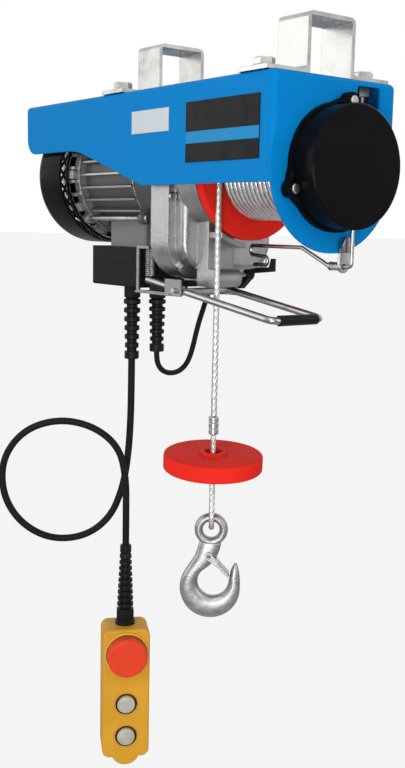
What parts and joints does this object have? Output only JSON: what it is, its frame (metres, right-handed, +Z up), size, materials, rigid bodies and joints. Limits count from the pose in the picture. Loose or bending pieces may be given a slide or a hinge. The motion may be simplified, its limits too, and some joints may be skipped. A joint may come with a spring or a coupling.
{
  "type": "electric rope hoist",
  "caption": "Electric wire rope hoist with two beam clamps, drum in a folded steel frame, fan cooled motor, hook with weight, limit bail and hanging push button pendant.",
  "frame": {"origin": "on the top plate, midway between the two beam clamps, where the underside of the beam rests", "axes": "+X along the beam from the motor end to the drum end, +Y from the front panel to the back panel, +Z up towards the beam"},
  "size_m": [0.473, 0.2744, 0.8215],
  "materials": {
    "frame_blue": "gloss",
    "zinc": "satin",
    "steel": "satin",
    "galvanised": "rough",
    "cast_aluminium": "satin",
    "motor_grey": "satin",
    "box_grey": "matte",
    "black_plastic": "matte",
    "red_paint": "gloss",
    "wire_rope": "satin",
    "copper": "satin",
    "light_plate": "satin",
    "amber_plastic": "satin",
    "red_plastic": "gloss",
    "white_plastic": "satin",
    "cable_black": "matte",
    "capacitor_white": "gloss"
  },
  "bodies": {
    "hoist": {"frame": "frame_blue", "beam_clamps": "zinc", "clamp_bolts": "zinc", "clamp_nuts": "zinc", "bearing_housing": "cast_aluminium", "bearings": "steel", "end_cover": "black_plastic", "case_screws": "zinc", "gear_case": "cast_aluminium", "gear_cover": "cast_aluminium", "stator": "copper", "motor_housing": "motor_grey", "motor_front_shield": "cast_aluminium", "motor_end_shield": "cast_aluminium", "motor_tie_rods": "zinc", "fan_cover": "black_plastic", "terminal_base": "motor_grey", "control_box_top": "box_grey", "control_box": "box_grey", "run_capacitor": "capacitor_white", "pendant_cable_gland": "black_plastic", "mains_cable_gland": "black_plastic", "limit_bracket": "zinc", "limit_switches": "black_plastic", "pivot_pins": "steel", "bail_springs": "steel", "rod_clip": "zinc", "hoist_rope": "wire_rope", "label_plates": "light_plate", "pendant_back": "amber_plastic", "pendant_front": "amber_plastic", "pendant_contacts": "black_plastic", "pendant_gland": "black_plastic", "pendant_cable": "cable_black", "mains_lead": "cable_black", "mains_coil": "cable_black", "lead_hook": "black_plastic", "mains_plug": "cable_black"},
    "rotor": {"motor_shaft": "steel", "rotor": "steel", "cooling_fan": "black_plastic"},
    "countershaft": {"countershaft": "steel", "countershaft_gear": "steel"},
    "drum": {"output_gear": "steel", "drum_shaft": "steel", "drum": "red_paint", "rope_winding": "wire_rope"},
    "hook_block": {"rope_loop": "wire_rope", "rope_ferrules": "cast_aluminium"},
    "limit_weight": {"limit_weight": "red_paint"},
    "hook": {"hook": "galvanised"},
    "latch": {"hook_latch": "zinc"},
    "bail": {"bail": "zinc", "bail_sleeve": "black_plastic"},
    "slack_rod": {"slack_rope_rod": "zinc", "rod_spring": "steel"},
    "trip_lever": {"trip_lever": "black_plastic"},
    "stop_button": {"stop_button": "red_plastic"},
    "up_button": {"up_button": "white_plastic"},
    "down_button": {"down_button": "white_plastic"}
  },
  "joints": [
    {"name": "motor_spin", "type": "hinge", "parent": "hoist", "child": "rotor", "pos_m": [-0.15, 0, -0.081], "axis": [-1, 0, 0], "range_deg": [0, 6490]},
    {"name": "countershaft_spin", "type": "hinge", "parent": "hoist", "child": "countershaft", "pos_m": [-0.03, 0, -0.132], "axis": [-1, 0, 0], "range_deg": [-866, 0]},
    {"name": "drum_spin", "type": "hinge", "parent": "hoist", "child": "drum", "pos_m": [0.08, 0, -0.081], "axis": [-1, 0, 0], "range_deg": [0, 149.3]},
    {"name": "hook_lift", "type": "slide", "parent": "hoist", "child": "hook_block", "axis": [0, 0, 1], "range_m": [0, 0.12505], "deforming": ["hoist_rope"]},
    {"name": "weight_lift", "type": "slide", "parent": "hook_block", "child": "limit_weight", "axis": [0, 0, 1], "range_m": [0, 0.012]},
    {"name": "hook_swing", "type": "hinge", "parent": "hook_block", "child": "hook", "pos_m": [0.036, -0.048, -0.4396], "axis": [0.7852, -0.6192, 0], "range_deg": [-35, 35]},
    {"name": "latch_open", "type": "hinge", "parent": "hook", "child": "latch", "pos_m": [0.03476, -0.04957, -0.466], "axis": [-0.7852, 0.6192, 0], "range_deg": [0, 38], "stiffness_Nm_per_rad": 0.02, "springref_deg": -20.05},
    {"name": "bail_lift", "type": "hinge", "parent": "hoist", "child": "bail", "pos_m": [-0.008, -0.029, -0.2], "axis": [0, -1, 0], "range_deg": [0, 7], "stiffness_Nm_per_rad": 1, "springref_deg": -5.73, "deforming": ["bail_springs"]},
    {"name": "slack_rod_tilt", "type": "hinge", "parent": "hoist", "child": "slack_rod", "pos_m": [0.1455, 0.014, -0.17], "axis": [0, 1, 0], "range_deg": [-0.8, 0], "stiffness_Nm_per_rad": 1, "springref_deg": 5.73},
    {"name": "trip_lever_turn", "type": "hinge", "parent": "hoist", "child": "trip_lever", "pos_m": [0.01, 0.014, -0.184], "axis": [0, 1, 0], "range_deg": [0, 3.2]},
    {"name": "stop_press", "type": "slide", "parent": "hoist", "child": "stop_button", "axis": [-0.8829, 0.4695, 0], "range_m": [0, 0.004], "stiffness_N_per_m": 600},
    {"name": "up_press", "type": "slide", "parent": "hoist", "child": "up_button", "axis": [-0.8829, 0.4695, 0], "range_m": [0, 0.003], "stiffness_N_per_m": 500},
    {"name": "down_press", "type": "slide", "parent": "hoist", "child": "down_button", "axis": [-0.8829, 0.4695, 0], "range_m": [0, 0.003], "stiffness_N_per_m": 500}
  ],
  "couplings": [
    {"joint": "countershaft_spin", "follows": "motor_spin", "ratio": -0.13333},
    {"joint": "drum_spin", "follows": "motor_spin", "ratio": 0.022989},
    {"joint": "hook_lift", "follows": "motor_spin", "m_per_rad": 0.0011034},
    {"joint": "trip_lever_turn", "follows": "slack_rod_tilt", "ratio": -3.9}
  ]
}
